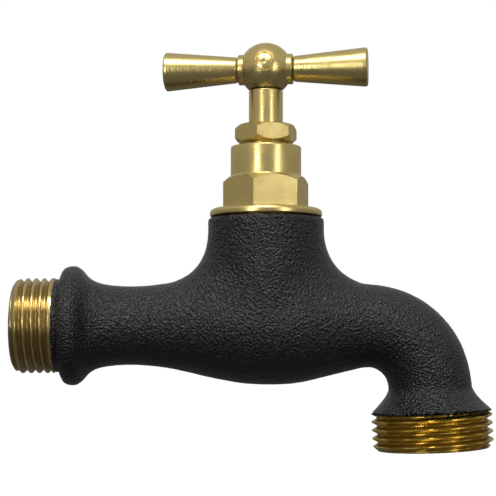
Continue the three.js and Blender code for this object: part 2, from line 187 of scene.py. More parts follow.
def studio_world():
    """White to the camera, and to everything else a grey room that is lighter above."""
    world = bpy.data.worlds.new("studio")
    world.use_nodes = True
    nodes, links = world.node_tree.nodes, world.node_tree.links
    nodes.clear()
    path = nodes.new("ShaderNodeLightPath")
    coordinates = nodes.new("ShaderNodeTexCoord")
    split = nodes.new("ShaderNodeSeparateXYZ")
    ramp = nodes.new("ShaderNodeMapRange")
    ramp.inputs["From Min"].default_value = -0.5
    ramp.inputs["From Max"].default_value = 0.5
    ramp.inputs["To Min"].default_value = 0.10
    ramp.inputs["To Max"].default_value = 0.50
    room = nodes.new("ShaderNodeBackground")
    room.inputs["Color"].default_value = (1, 0.985, 0.965, 1)
    white = nodes.new("ShaderNodeBackground")
    white.inputs["Strength"].default_value = 1.0
    white.inputs["Color"].default_value = (1, 1, 1, 1)
    mix = nodes.new("ShaderNodeMixShader")
    output = nodes.new("ShaderNodeOutputWorld")
    links.new(coordinates.outputs["Generated"], split.inputs[0])
    links.new(split.outputs["Z"], ramp.inputs["Value"])
    links.new(ramp.outputs["Result"], room.inputs["Strength"])
    links.new(path.outputs["Is Camera Ray"], mix.inputs[0])
    links.new(room.outputs[0], mix.inputs[1])
    links.new(white.outputs[0], mix.inputs[2])
    links.new(mix.outputs[0], output.inputs[0])
    bpy.context.scene.world = world


studio_world()

# %% [markdown]
# ## Turned pieces
# Most of a tap comes off a lathe. A lathe piece is an outline of [radius, height] pairs swept
# round +Z. The corners of the outline are rounded a little first, because no real edge is
# perfectly sharp and it is the small radius that catches the light.


# %% Round off the corners of an outline
def rounded(outline, radius, steps=4, closed=False):
    """The outline with each corner replaced by an arc, as large as its two sides allow."""
    points = [Vector(p) for p in outline]
    count = len(points)
    result = []
    for i, corner in enumerate(points):
        if not closed and i in (0, count - 1):
            result.append(corner)
            continue
        back = points[i - 1] - corner
        ahead = points[(i + 1) % count] - corner
        turn = back.angle(ahead, math.pi)
        reach = min(radius / math.tan(turn / 2), back.length * 0.45, ahead.length * 0.45)
        if math.pi - turn < 0.05 or radius == 0:
            result.append(corner)
            continue
        start = corner + back.normalized() * reach
        end = corner + ahead.normalized() * reach
        for k in range(steps + 1):
            t = k / steps
            result.append(start.lerp(corner, t).lerp(corner.lerp(end, t), t))
    return [(p.x, p.y) for p in result]


def divided(outline, longest):
    """The outline with extra points, so that no side is longer than a given length."""
    result = [outline[0]]
    for (r0, z0), (r1, z1) in zip(outline, outline[1:]):
        pieces = max(1, math.ceil(math.hypot(r1 - r0, z1 - z0) / longest))
        result += [(r0 + (r1 - r0) * k / pieces, z0 + (z1 - z0) * k / pieces)
                   for k in range(1, pieces + 1)]
    return result


def mm(*pairs):
    """Outline points written in millimetres, as metres."""
    return [(r * MM, z * MM) for r, z in pairs]


# %% Spin an outline round +Z
def add_object(name, mesh):
    """A new object in the scene that holds a mesh."""
    piece = bpy.data.objects.new(name, mesh)
    bpy.context.scene.collection.objects.link(piece)
    return piece


def turned(name, outline, segments=128, closed=False):
    """A closed lathe piece. An open outline starts and ends on the axis."""
    rings, vertices = [], []
    for radius, height in outline:
        if radius < 1e-9:
            rings.append([len(vertices)])
            vertices.append((0, 0, height))
            continue
        rings.append(list(range(len(vertices), len(vertices) + segments)))
        vertices += [(radius * math.cos(math.tau * k / segments),
                      radius * math.sin(math.tau * k / segments), height) for k in range(segments)]
    pairs = list(zip(rings, rings[1:])) + ([(rings[-1], rings[0])] if closed else [])
    faces = []
    for low, high in pairs:
        for k in range(segments):
            j = (k + 1) % segments
            if len(low) == 1:
                faces.append((low[0], high[j], high[k]))
            elif len(high) == 1:
                faces.append((low[k], low[j], high[0]))
            else:
                faces.append((low[k], low[j], high[j], high[k]))
    mesh = bpy.data.meshes.new(name)
    mesh.from_pydata(vertices, [], faces)
    return face_outwards(add_object(name, mesh))


def spots_of(mesh):
    """All vertex positions of a mesh, one row each."""
    points = np.empty(len(mesh.vertices) * 3)
    mesh.vertices.foreach_get("co", points)
    return points.reshape(-1, 3)


def face_outwards(piece):
    """Turns a closed piece's faces outwards if they look inwards."""
    mesh = piece.data
    mesh.calc_loop_triangles()
    corners = spots_of(mesh)
    a, b, c = (corners[[t.vertices[i] for t in mesh.loop_triangles]] for i in range(3))
    if np.einsum("ij,ij->i", a, np.cross(b, c)).sum() < 0:
        mesh.flip_normals()
    return piece


def bar(name, radius, low, high, segments=96):
    """A plain round bar along +Z, mostly used as a cutter."""
    return turned(name, [(0, low), (radius, low), (radius, high), (0, high)], segments)


# %% Place, join and cut
def placed(piece, matrix):
    """Moves the vertices, not the object, so that the object stays at the origin."""
    piece.data.transform(matrix)
    piece.data.update()
    return piece


def apply_modifiers(piece):
    """Bakes a piece's modifiers into a plain mesh."""
    bpy.context.view_layer.update()
    evaluated = piece.evaluated_get(bpy.context.evaluated_depsgraph_get())
    mesh = bpy.data.meshes.new_from_object(evaluated)
    piece.modifiers.clear()
    piece.data = mesh
    return piece


def combined(operation, piece, *others):
    """Joins other solids to a piece, or cuts them out of it; the others are used up."""
    for other in others:
        modifier = piece.modifiers.new("combine", "BOOLEAN")
        modifier.operation = operation
        modifier.solver = "MANIFOLD"
        modifier.object = other
        apply_modifiers(piece)
        bpy.data.objects.remove(other)
    return piece


def join(piece, *others):
    return combined("UNION", piece, *others)


def cut(piece, *others):
    return combined("DIFFERENCE", piece, *others)


def along_x(piece):
    """Lays a piece that was made along +Z down along +X."""
    return placed(piece, Matrix.Rotation(math.pi / 2, 4, "Y"))


def on_spindle_axis(piece):
    return placed(piece, Matrix.Translation((NECK_X, 0, 0)))


def on_outlet_axis(piece):
    """Height 0 goes to the elbow's end, and +Z points out of the mouth."""
    turn = Vector((0, 0, 1)).rotation_difference(outlet_axis).to_matrix().to_4x4()
    return placed(piece, Matrix.Translation(outlet_start) @ turn)


# %% [markdown]
# ## Threads
# A thread is the same groove wound round and round, which is a job for Geometry Nodes. The
# tree takes a finely divided lathe blank and pushes each point of its outer skin inwards by
# how far it is from the crest of a helix. One closed surface comes out, with no joins. Its
# inputs are the sizes that a machinist would read from a thread table.


# %% Small helpers for every node tree
def feed_socket(tree, value, socket):
    """Links a node's output to a socket, or sets the socket to a number or colour."""
    if isinstance(value, bpy.types.NodeSocket):
        tree.links.new(value, socket)
    else:
        socket.default_value = value


def calculate(tree, operation, *values):
    """The output of a math node; each value is a number or another node's output."""
    node = tree.nodes.new("ShaderNodeMath")
    node.operation = operation
    for socket, value in zip(node.inputs, values):
        feed_socket(tree, value, socket)
    return node.outputs[0]


def rescaled(tree, value, from_low, from_high, low, high):
    """A value that runs from low to high while another runs from from_low to from_high."""
    node = tree.nodes.new("ShaderNodeMapRange")
    titles = ("Value", "From Min", "From Max", "To Min", "To Max")
    for title, given in zip(titles, (value, from_low, from_high, low, high)):
        feed_socket(tree, given, node.inputs[title])
    return node.outputs["Result"]


# %% The thread-cutting tree
def thread_tree():
    tree = bpy.data.node_groups.new("cut a thread", "GeometryNodeTree")
    tree.interface.new_socket("Geometry", in_out="INPUT", socket_type="NodeSocketGeometry")
    for title in ("Crest Radius", "Depth", "Pitch", "Bottom", "Top", "Run Out", "Flat"):
        tree.interface.new_socket(title, in_out="INPUT", socket_type="NodeSocketFloat")
    tree.interface.new_socket("Material", in_out="INPUT", socket_type="NodeSocketMaterial")
    tree.interface.new_socket("Geometry", in_out="OUTPUT", socket_type="NodeSocketGeometry")
    nodes, links = tree.nodes, tree.links
    given = nodes.new("NodeGroupInput")
    crest, deepest, pitch, bottom, top, run_out, flat = given.outputs[1:8]

    def value_of(operation, *values):
        return calculate(tree, operation, *values)

    position = nodes.new("GeometryNodeInputPosition").outputs[0]
    split = nodes.new("ShaderNodeSeparateXYZ")
    links.new(position, split.inputs[0])
    x, y, z = split.outputs
    square = value_of("ADD", value_of("MULTIPLY", x, x), value_of("MULTIPLY", y, y))
    radius = value_of("SQRT", square)
    turn = value_of("DIVIDE", value_of("ARCTAN2", y, x), math.tau)
    along = value_of("DIVIDE", z, pitch)
    phase = value_of("FRACT", value_of("SUBTRACT", along, turn))
    slope = value_of("ABSOLUTE", value_of("SUBTRACT", value_of("MULTIPLY", phase, 2), 1))
    flank = rescaled(tree, slope, flat, value_of("SUBTRACT", 1, flat), 0, deepest)
    fade = rescaled(tree, z, value_of("SUBTRACT", top, run_out), top, 1, 0)

    depth = value_of("MULTIPLY", flank, fade)
    wanted = value_of("MINIMUM", radius, value_of("SUBTRACT", crest, depth))
    scale = value_of("DIVIDE", wanted, radius)
    place = nodes.new("ShaderNodeCombineXYZ")
    links.new(value_of("MULTIPLY", x, scale), place.inputs[0])
    links.new(value_of("MULTIPLY", y, scale), place.inputs[1])
    links.new(z, place.inputs[2])

    root = value_of("SUBTRACT", crest, deepest)
    outer = value_of("GREATER_THAN", radius, value_of("MULTIPLY", root, 0.98))
    above = value_of("GREATER_THAN", z, bottom)
    below = value_of("LESS_THAN", z, top)
    chosen = value_of("MULTIPLY", outer, value_of("MULTIPLY", above, below))

    move = nodes.new("GeometryNodeSetPosition")
    realize = nodes.new("GeometryNodeRealizeInstances")
    paint = nodes.new("GeometryNodeSetMaterial")
    output = nodes.new("NodeGroupOutput")
    links.new(given.outputs["Geometry"], move.inputs["Geometry"])
    links.new(chosen, move.inputs["Selection"])
    links.new(place.outputs[0], move.inputs["Position"])
    links.new(move.outputs[0], realize.inputs[0])
    links.new(realize.outputs[0], paint.inputs["Geometry"])
    links.new(given.outputs["Material"], paint.inputs["Material"])
    links.new(paint.outputs[0], output.inputs[0])
    return tree


THREAD_TREE = thread_tree()


def thread_cut(piece, material, crest, depth, pitch, bottom, top, run_out=0.5 * MM, flat=0.14):
    """Runs the tree on a lathe blank and keeps the result as a plain mesh."""
    modifier = piece.modifiers.new("thread", "NODES")
    modifier.node_group = THREAD_TREE
    sizes = {"Crest Radius": crest, "Depth": depth, "Pitch": pitch, "Bottom": bottom,
             "Top": top, "Run Out": run_out, "Flat": flat, "Material": material}
    for item in THREAD_TREE.interface.items_tree:
        if item.in_out == "INPUT" and item.name in sizes:
            modifier[item.identifier] = sizes[item.name]
    return apply_modifiers(piece)


print("thread tree has", len(THREAD_TREE.nodes), "nodes")

# %% [markdown]
# ## Finishes
# Four things show on this tap: bare turned brass, the same brass milled flat on the hexagons,
# black paint over a sand-cast skin, and small hidden parts in rubber, fibre and graphite. The
# grain left by a lathe or a casting is used more than once, so each is a node group.


# %% Node helpers for materials
def add_node(tree, kind, **settings):
    """A node whose sockets and settings are given by name; a socket value may be an output."""
    node = tree.nodes.new(kind)
    for key, value in settings.items():
        title = key.replace("_", " ")
        if hasattr(node, key):
            setattr(node, key, value)
        else:
            feed_socket(tree, value, node.inputs[title])
    return node


def shader_group(name, inputs, outputs):
    """An empty shader node group with float or colour sockets, ready to be filled."""
    tree = bpy.data.node_groups.new(name, "ShaderNodeTree")
    for title, default in inputs.items():
        kind = "NodeSocketFloat" if isinstance(default, (int, float)) else "NodeSocketColor"
        socket = tree.interface.new_socket(title, in_out="INPUT", socket_type=kind)
        socket.default_value = default
    for title, kind in outputs.items():
        tree.interface.new_socket(title, in_out="OUTPUT", socket_type=kind)
    return tree, tree.nodes.new("NodeGroupInput"), tree.nodes.new("NodeGroupOutput")


def place_group(tree, group, **values):
    node = tree.nodes.new("ShaderNodeGroup")
    node.node_tree = group
    for key, value in values.items():
        feed_socket(tree, value, node.inputs[key.replace("_", " ")])
    return node


def noise_over(tree, scale, detail):
    """A noise pattern that sticks to the piece, as a value."""
    place = add_node(tree, "ShaderNodeTexCoord").outputs["Object"]
    return add_node(tree, "ShaderNodeTexNoise", Vector=place, Scale=scale, Detail=detail).outputs["Fac"]


# %% Tool marks: fine lines that run round a turned piece
def tool_mark_group():
    """Height of the lines a cutting tool leaves. They follow the attribute 'feed', in mm."""
    group, given, out = shader_group(
        "tool marks", {"Lines per mm": 6.0, "Waviness": 0.3},
        {"Height": "NodeSocketFloat", "Tarnish": "NodeSocketFloat"})
    feed = add_node(group, "ShaderNodeAttribute", attribute_name="feed").outputs["Fac"]
    fine = add_node(group, "ShaderNodeTexNoise", noise_dimensions="1D", Scale=1.0, Detail=2.0,
                    W=calculate(group, "MULTIPLY", feed, given.outputs["Lines per mm"]))
    patches = noise_over(group, 260.0, 3.0)
    height = calculate(group, "MULTIPLY_ADD", patches, given.outputs["Waviness"], fine.outputs["Fac"])
    group.links.new(height, out.inputs["Height"])
    group.links.new(patches, out.inputs["Tarnish"])
    return group


# %% Cast skin: the grain of the sand under a coat of paint
def cast_skin_group():
    group, given, out = shader_group(
        "cast skin", {"Grain per metre": 1500.0, "Softness": 0.5},
        {"Height": "NodeSocketFloat", "Patches": "NodeSocketFloat"})
    place = add_node(group, "ShaderNodeTexCoord").outputs["Object"]
    scale = given.outputs["Grain per metre"]
    grain = add_node(group, "ShaderNodeTexNoise", Vector=place, Scale=scale, Detail=3.0, Roughness=0.6)
    pits = add_node(group, "ShaderNodeTexVoronoi", feature="SMOOTH_F1", Vector=place, Scale=scale,
                    Smoothness=given.outputs["Softness"])
    height = calculate(group, "ADD", grain.outputs["Fac"], pits.outputs["Distance"])
    group.links.new(height, out.inputs["Height"])
    group.links.new(noise_over(group, 180.0, 2.0), out.inputs["Patches"])
    return group


TOOL_MARKS = tool_mark_group()
CAST_SKIN = cast_skin_group()


# %% Brass
def mixed(tree, factor, first, second):
    """A mix of two numbers by a factor; each may be another node's output."""
    mix = add_node(tree, "ShaderNodeMix", data_type="FLOAT")
    for socket, value in zip((mix.inputs[0], mix.inputs[2], mix.inputs[3]), (factor, first, second)):
        feed_socket(tree, value, socket)
    return mix.outputs[0]


def colour_between(tree, factor, first, second):
    """A mix of two colours by a factor; each may be another node's output."""
    mix = add_node(tree, "ShaderNodeMix", data_type="RGBA")
    feed_socket(tree, factor, mix.inputs[0])
    for socket, value in zip(mix.inputs[6:8], (first, second)):
        feed_socket(tree, (*value, 1) if isinstance(value, tuple) else value, socket)
    return mix.outputs[2]


def value_between(tree, patches, low, high):
    """A value from low to high over the middle of a noise pattern, where most of it lies."""
    return rescaled(tree, patches, 0.3, 0.7, low, high)


def bumped(tree, shader, height, strength, distance):
    """Roughens a shader with a bump of a given depth."""
    bump = add_node(tree, "ShaderNodeBump", Strength=strength, Distance=distance, Height=height)
    tree.links.new(bump.outputs[0], shader.inputs["Normal"])


def brass_material(name, smooth, rough, lines, mark_height):
    """Turned brass: clean and dull patches, and tool marks as a small bump."""
    material, tree, shader = new_material(name)
    marks = place_group(tree, TOOL_MARKS, Lines_per_mm=lines)
    tarnish = marks.outputs["Tarnish"]
    tree.links.new(colour_between(tree, tarnish, PALE_BRASS, DULL_BRASS), shader.inputs["Base Color"])
    tree.links.new(value_between(tree, tarnish, smooth, rough), shader.inputs["Roughness"])
    shader.inputs["Metallic"].default_value = 1.0
    bumped(tree, shader, marks.outputs["Height"], 1.0, mark_height)
    return material


PALE_BRASS = (0.76, 0.61, 0.26)
DULL_BRASS = (0.62, 0.49, 0.18)
turned_brass = brass_material("turned_brass", 0.22, 0.34, 3.5, 0.012 * MM)
grooved_brass = brass_material("grooved_brass", 0.24, 0.36, 2.2, 0.045 * MM)
milled_brass = brass_material("milled_brass", 0.36, 0.50, 3.5, 0.028 * MM)


# %% Black paint over the casting
def paint_material():
    """Satin black paint over rough casting, and bare brass wherever 'bare' is above zero.

    The attribute 'bare' is a distance in mm past the edge of the paint, so a little noise
    added to it gives the edge that a brush or a mask leaves.
    """
    material, tree, shader = new_material("painted_brass")
    skin = place_group(tree, CAST_SKIN, Grain_per_metre=2000.0)
    marks = place_group(tree, TOOL_MARKS, Lines_per_mm=4.0)

    tarnish, patches = marks.outputs["Tarnish"], skin.outputs["Patches"]

    # where the paint ends, with a ragged edge
    bare = add_node(tree, "ShaderNodeAttribute", attribute_name="bare").outputs["Fac"]
    edge = calculate(tree, "MULTIPLY_ADD", noise_over(tree, 900.0, 3.0), 0.5, bare)
    mask = rescaled(tree, edge, 0.22, 0.32, 0, 1)

    # the brass is deeper in colour at the outlet, which lies on the side where x is large
    split = add_node(tree, "ShaderNodeSeparateXYZ")
    tree.links.new(add_node(tree, "ShaderNodeTexCoord").outputs["Object"], split.inputs[0])
    at_outlet = calculate(tree, "GREATER_THAN", split.outputs["X"], NECK_X)
    pale = colour_between(tree, tarnish, (0.78, 0.63, 0.30), (0.42, 0.31, 0.12))
    deep = colour_between(tree, tarnish, (0.70, 0.49, 0.10), (0.50, 0.33, 0.055))
    clean = colour_between(tree, at_outlet, pale, deep)

    # painted shade: the brass darkens towards dark brown between the thread crests, more strongly at
    # the inlet end than at the outlet
    groove = add_node(tree, "ShaderNodeAttribute", attribute_name="groove").outputs["Fac"]
    groove_shade = rescaled(tree, groove, 0, 1, 0, 0.8)
    groove_shade_amount = calculate(tree, "MULTIPLY", groove_shade, value_between(tree, at_outlet, 1.0, 0.35))
    brass = colour_between(tree, groove_shade_amount, clean, (0.20, 0.13, 0.04))

    black = colour_between(tree, patches, (0.0010, 0.0010, 0.0020), (0.0026, 0.0026, 0.0040))
    tree.links.new(colour_between(tree, mask, black, brass), shader.inputs["Base Color"])
    tree.links.new(mask, shader.inputs["Metallic"])
    shader.inputs["Specular IOR Level"].default_value = 0.5

    # the high grains of the paint are rubbed shiny
    satin = rescaled(tree, skin.outputs["Height"], 0.62, 1.15, 0.42, 0.19)
    polish = mixed(tree, mask, satin, value_between(tree, tarnish, 0.20, 0.36))
    tree.links.new(polish, shader.inputs["Roughness"])
    grain_height = calculate(tree, "MULTIPLY", skin.outputs["Height"], 0.28 * MM)
    mark_height = calculate(tree, "MULTIPLY", marks.outputs["Height"], 0.012 * MM)
    bumped(tree, shader, mixed(tree, mask, grain_height, mark_height), 1.0, 1.0)
    return material


def plain_material(name, colour, roughness, grain, height):
    """A dull moulded or pressed material with a fine grain."""
    material, tree, shader = new_material(name)
    skin = place_group(tree, CAST_SKIN, Grain_per_metre=grain)
    darker = tuple(c * 0.7 for c in colour)
    shade = colour_between(tree, skin.outputs["Patches"], colour, darker)
    tree.links.new(shade, shader.inputs["Base Color"])
    shader.inputs["Roughness"].default_value = roughness
    bumped(tree, shader, skin.outputs["Height"], 0.6, height)
    return material


painted_brass = paint_material()
black_rubber = plain_material("washer_rubber", (0.02, 0.02, 0.02), 0.7, 3000.0, 0.01 * MM)
red_fibre = plain_material("gasket_fibre", (0.32, 0.07, 0.04), 0.85, 4000.0, 0.02 * MM)
graphite = plain_material("packing_graphite", (0.06, 0.06, 0.065), 0.55, 2500.0, 0.02 * MM)
print("materials:", [m.name for m in bpy.data.materials])

# %% [markdown]
# ## The casting
# The body is cast in one piece: a tube that swells to a belly, bends down to the outlet and
# grows a neck for the headwork, with wide fillets where tube and neck meet. Lathe pieces alone
# would leave a crease there. Here the skin is a formula: the signed distance to the tube and
# the signed distance to the neck, blended where they meet. A rough mesh of overlapping tubes
# is remeshed to an even net of quads, and then every point is slid along the slope of the
# formula until it lies on the skin.


# %% A smooth curve through a few points
def smooth_curve(points, step):
    """Points on a Catmull-Rom curve through [distance, radius] pairs, one each step or so."""
    padded = [points[0]] + list(points) + [points[-1]]
    result = []
    for p0, p1, p2, p3 in zip(padded, padded[1:], padded[2:], padded[3:]):
        count = max(1, math.ceil((p2[0] - p1[0]) / step))
        for k in range(count):
            t = k / count
            result.append(tuple(
                0.5 * (2 * b + (c - a) * t + (2 * a - 5 * b + 4 * c - d) * t ** 2
                       + (3 * b - a - 3 * c + d) * t ** 3)
                for a, b, c, d in zip(p0, p1, p2, p3)))
    return result + [tuple(points[-1])]


ELBOW_LENGTH = ELBOW_BEND * BEND_ANGLE
SPOUT_BASE = ELBOW_START + ELBOW_LENGTH            # how far along the centre line the spout begins
skin_outline = mm(                                 # collar, tube, belly and elbow
    (10.0, 9.7), (10.25, 10.6), (10.5, 11.6), (10.95, 12.5), (11.8, 13.0), (12.8, 13.15),
    (13.8, 13.0), (15.0, 12.15), (16.2, 10.75), (17.6, 9.8), (20.2, 9.05), (24, 8.7), (28, 8.75),
    (33, 9.25), (38, 10.2), (43.5, 11.5), (50, 12.65), (56.5, 13.0), (62.5, 12.6), (69, 11.15),
    (74.5, 9.8), (78.2, 9.17), (88, 9.12))
skin_outline += [(SPOUT_BASE + s, r) for s, r in mm(   # spout and flare
    (0, 9.1), (1.2, 9.25), (2.3, 9.8), (3.4, 10.65), (4.5, 11.65), (5.5, 12.65), (6.0, 13.18),
    (6.1, 13.2))]
skin_curve = smooth_curve(skin_outline, 0.5 * MM)
print("skin outline:", len(skin_outline), "points ->", len(skin_curve))


# %% Where a point is relative to the bent centre line
def along_and_out(points):
    """For each point: distance along the centre line, and distance out from it."""
    x, y, z = points.T
    dx, dz = x - elbow_centre.x, z - elbow_centre.z
    straight = np.hypot(y, z)
    angle = np.arctan2(dx, dz)
    sag = 0.2 * MM * np.sqrt(np.clip(np.sin(2 * angle), 0, 1))   # the bend is cast slightly tight
    bent = np.hypot(y, np.hypot(dx, dz) - ELBOW_BEND + sag)
    axis = np.array(outlet_axis)
    from_start = points - np.array(outlet_start)
    down = from_start @ axis
    outlet = np.linalg.norm(from_start - down[:, None] * axis, axis=1)
    along = np.where(angle > BEND_ANGLE, SPOUT_BASE + down, ELBOW_START + ELBOW_BEND * angle)
    out = np.where(angle > BEND_ANGLE, outlet, bent)
    level = (dx < 0)
    return np.where(level, x, along), np.where(level, straight, out)


def centre_point(along):
    """The point of the centre line at a distance along it, and the direction there."""
    if along <= ELBOW_START:
        return Vector((along, 0, 0)), Vector((1, 0, 0))
    angle = min((along - ELBOW_START) / ELBOW_BEND, BEND_ANGLE)
    outward = Vector((math.sin(angle), 0, math.cos(angle)))
    direction = Vector((math.cos(angle), 0, -math.sin(angle)))
    beyond = max(along - SPOUT_BASE, 0)
    return elbow_centre + ELBOW_BEND * outward + direction * beyond, direction


def tube_along(name, curve, segments=96):
    """A closed tube of changing radius along the centre line, from [distance, radius] pairs."""
    vertices, faces = [], []
    for along, radius in curve:
        centre, direction = centre_point(along)
        side = Vector((0, 1, 0))
        up = side.cross(direction)
        for k in range(segments):
            turn = math.tau * k / segments
            vertices.append(centre + radius * (math.cos(turn) * side + math.sin(turn) * up))
    for first in range(0, (len(curve) - 1) * segments, segments):
        for k in range(segments):
            j = (k + 1) % segments
            faces.append((first + k, first + j, first + segments + j, first + segments + k))
    faces.append(tuple(reversed(range(segments))))
    faces.append(tuple(range((len(curve) - 1) * segments, len(curve) * segments)))
    mesh = bpy.data.meshes.new(name)
    mesh.from_pydata(vertices, [], faces)
    return face_outwards(add_object(name, mesh))


# %% The skin as a signed distance
def outline_table(curve, spacing):
    """Signed distances to an outline on a square grid of (along, out), worked out once."""
    ends = np.array(curve)
    start, step = ends[:-1], ends[1:] - ends[:-1]
    square = (step ** 2).sum(1)
    along = np.arange(ends[0, 0] - 3 * MM, ends[-1, 0] + 3 * MM, spacing)
    out = np.arange(0, 22 * MM, spacing)
    table = np.empty((len(along), len(out)))
    for i, s in enumerate(along):
        spot = np.stack([np.full(len(out), s), out], 1)
        offset = spot[:, None, :] - start[None]
        t = np.clip((offset * step).sum(2) / square, 0, 1)
        table[i] = np.linalg.norm(offset - t[..., None] * step, axis=2).min(1)
    inside = out[None, :] < np.interp(along, ends[:, 0], ends[:, 1])[:, None]
    return np.where(inside, -table, table), along[0], spacing


def look_up(table, along, out):
    """The value of an outline table, blended between the four nearest entries."""
    values, first, spacing = table
    u = np.clip((along - first) / spacing, 0, values.shape[0] - 1.001)
    v = np.clip(out / spacing, 0, values.shape[1] - 1.001)
    i, j = u.astype(int), v.astype(int)
    u, v = u - i, v - j
    return ((values[i, j] * (1 - u) + values[i + 1, j] * u) * (1 - v)
            + (values[i, j + 1] * (1 - u) + values[i + 1, j + 1] * u) * v)


skin_table = outline_table(skin_curve, 0.1 * MM)
print("table of distances:", skin_table[0].shape)


def distance_to_tube(points):
    """Signed distance to the tube, measured in the plane of along and out."""
    along, out = along_and_out(points)
    ends = np.maximum(skin_curve[0][0] - along, along - skin_curve[-1][0])
    return np.maximum(look_up(skin_table, along, out), ends)


NECK_ROUND = 0.7 * MM                               # radius of the neck's painted top edge
BLEND_REACH = 9.85 * MM                             # how far the fillets reach up neck and tube


def distance_to_skin(points):
    tube = distance_to_tube(points)
    x, y, z = points.T
    off_axis = np.hypot(x - NECK_X, y)
    side = off_axis - NECK_R + NECK_ROUND
    top = z - NECK_TOP + NECK_ROUND
    within = np.minimum(np.maximum(side, top), 0)
    neck = within + np.hypot(np.maximum(side, 0), np.maximum(top, 0)) - NECK_ROUND
    neck = np.maximum(neck, -z)
    likeness = y ** 2 / (np.hypot(y, z) * off_axis + 1e-9)       # 1 where both skins face alike
    lean = 1 + 0.03 * np.tanh((x - NECK_X) / (5 * MM))           # a little fuller towards the outlet
    reach = BLEND_REACH * lean * np.clip(1 - likeness, 0.02, 1)
    nearness = np.maximum(reach - np.abs(tube - neck), 0) / reach
    return np.minimum(tube, neck) - nearness ** 2 * reach / 4


# %% Slide a remeshed blank on to the skin
def neighbour_average(mesh, points):
    """For each vertex, the mean of the vertices it shares an edge with."""
    edges = np.empty(len(mesh.edges) * 2, np.int64)
    mesh.edges.foreach_get("vertices", edges)
    edges = edges.reshape(-1, 2)
    total = np.zeros_like(points)
    count = np.zeros(len(points))
    for a, b in ((0, 1), (1, 0)):
        np.add.at(total, edges[:, a], points[edges[:, b]])
        np.add.at(count, edges[:, a], 1)
    return total / count[:, None]


def slope_of(distance, points, step=0.02 * MM):
    base = distance(points)
    slope = np.stack([(distance(points + step * axis) - base) / step for axis in np.eye(3)], 1)
    return base, slope


def cast_blank(voxel):
    """A rough union of tube and neck, remeshed to even quads."""
    blank = tube_along("body", skin_curve[::3] + skin_curve[-1:], 64)
    neck = on_spindle_axis(bar("neck", NECK_R, 0, NECK_TOP, 64))
    flare = on_spindle_axis(turned("flare", mm((0, 6), (17, 8), (13, 15), (0, 15)), 64))
    placed(flare, Matrix.Diagonal((1, 0.5, 1, 1)))
    join(blank, neck, flare)
    remesh = blank.modifiers.new("remesh", "REMESH")
    remesh.mode = "VOXEL"
    remesh.voxel_size = voxel
    apply_modifiers(blank)
    blank.data.materials.clear()
    return blank


LONGEST_SLIDE = 0.8 * MM


def slide_to_skin(piece, rounds=9):
    """Moves every point on to the skin; all but the last two rounds also even out the net."""
    mesh = piece.data
    points = spots_of(mesh)
    for turn in range(rounds):
        if turn < rounds - 2:
            points += 0.5 * (neighbour_average(mesh, points) - points)
        base, slope = slope_of(distance_to_skin, points)
        length = np.maximum((slope ** 2).sum(1), 0.2)
        move = -(base / length)[:, None] * slope
        size = np.linalg.norm(move, axis=1)[:, None]
        points += move * np.minimum(1, LONGEST_SLIDE / np.maximum(size, 1e-9))
    mesh.vertices.foreach_set("co", points.ravel())
    mesh.update()
    print("largest miss from the skin: %.3f mm" % (np.abs(distance_to_skin(points)).max() / MM))
    return piece


def ripple(piece):
    """Shallow hollows and swells, because sand never gives a perfectly even face."""
    spots = [v.co.copy() for v in piece.data.vertices]
    normals = [v.normal.copy() for v in piece.data.vertices]
    for i, spot in enumerate(spots):
        height = 0.04 * noise.noise(spot / (2.6 * MM)) + 0.03 * noise.noise(spot / (1.1 * MM))
        spots[i] = spot + normals[i] * height * MM
    piece.data.vertices.foreach_set("co", np.array(spots).ravel())
    piece.data.update()
    return piece


NET_SIZE = 0.47 * MM                                # fine enough for round edges, still light
casting = ripple(slide_to_skin(cast_blank(NET_SIZE)))
print("casting:", len(casting.data.vertices), "vertices", len(casting.data.polygons), "faces")


# %% [markdown]
# The two pipe threads are turned sleeves that overlap the casting, and the waterway is cut out
# of the whole afterwards. Inside, an S-shaped web parts the inlet from the outlet side, with
# the valve seat in its level stretch: the waterway is a bent core with that web left standing.


# %% Thread sleeves
def pipe_sleeve(name, lead_in, crest, depth, length, shoulder, run_out, segments):
    """A threaded stub whose free end is at height 0, with a plain shoulder behind the thread."""
    back = [(crest, length), (shoulder[0], length), shoulder, (0, shoulder[1])]
    outline = [(0, 0)] + lead_in + back
    fine = divided(outline, 0.13 * MM)
    fine = [p for p in fine if p[0] > crest * 0.75 or p in (outline[0], outline[-1])]
    blank = turned(name, fine, segments)
    return thread_cut(blank, painted_brass, crest, depth, PIPE_PITCH, 0.02 * MM, length, run_out)


inlet_lead = [(INLET_THREAD_R - 1.3 * MM, 0), (INLET_THREAD_R - 0.5 * MM, 0.5 * MM),
              (INLET_THREAD_R, 1.7 * MM)]
inlet_sleeve = pipe_sleeve("inlet thread", inlet_lead, INLET_THREAD_R, 0.75 * MM, INLET_THREAD_END,
                           (10.25 * MM, 11.6 * MM), 0.5 * MM, 160)
placed(inlet_sleeve, Matrix.Rotation(math.radians(155), 4, "Z"))
along_x(inlet_sleeve)
outlet_lead = [(OUTLET_THREAD_R - 1.1 * MM, 0), (OUTLET_THREAD_R, 1.1 * MM)]
outlet_sleeve = pipe_sleeve("outlet thread", outlet_lead, OUTLET_THREAD_R, PIPE_DEPTH,
                            SPOUT_LENGTH - SPOUT_THREAD_START, (12.1 * MM, 9.2 * MM), 0.25 * MM, 192)
placed(outlet_sleeve, Matrix.Translation((0, 0, SPOUT_LENGTH)) @ Matrix.Rotation(math.pi, 4, "X"))
on_outlet_axis(outlet_sleeve)


